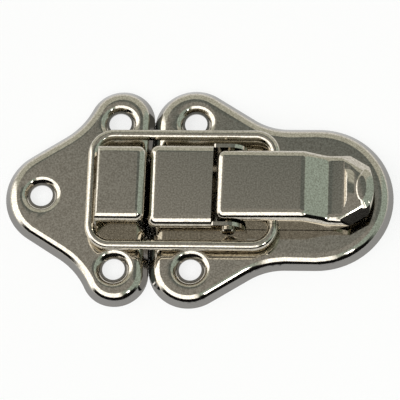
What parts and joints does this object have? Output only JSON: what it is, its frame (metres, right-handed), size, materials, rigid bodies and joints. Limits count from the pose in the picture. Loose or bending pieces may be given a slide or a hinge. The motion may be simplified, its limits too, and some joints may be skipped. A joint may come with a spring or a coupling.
{
  "type": "over centre toggle latch",
  "caption": "Over-centre toggle latch: a wire bail pulled by a lever hooks over a catch box on a separate screw-on plate.",
  "frame": {"origin": "middle of the whole footprint of the closed latch, on the plane the two plates stand on", "axes": "+X from the catch plate to the lever's tip, +Y across the latch, +Z out of the surface it is screwed to"},
  "size_m": [0.0728, 0.0436, 0.0092],
  "materials": {
    "catch_plate": "bright nickel plated pressed steel",
    "base_plate": "bright nickel plated pressed steel",
    "pivot_pin": "bright nickel plated steel",
    "lever": "bright nickel plated pressed steel",
    "wire_bail": "bright nickel plated steel wire"
  },
  "bodies": {
    "base": {"base_plate": "base_plate", "catch_plate": "catch_plate", "pivot_pin": "pivot_pin"},
    "lever": {"lever": "lever"},
    "bail": {"wire_bail": "wire_bail"}
  },
  "joints": [
    {"name": "lever_hinge", "type": "hinge", "parent": "base", "child": "lever", "pos_m": [0.0061, 0, 0.0052], "axis": [0, -1, 0], "range_deg": [0, 70]},
    {"name": "bail_hinge", "type": "hinge", "parent": "lever", "child": "bail", "pos_m": [0.01437, 0, 0.00465], "axis": [0, -1, 0], "range_deg": [-70, 0]}
  ],
  "couplings": [
    {"joint": "lever_hinge", "follows": "bail_hinge", "ratio": -1}
  ]
}
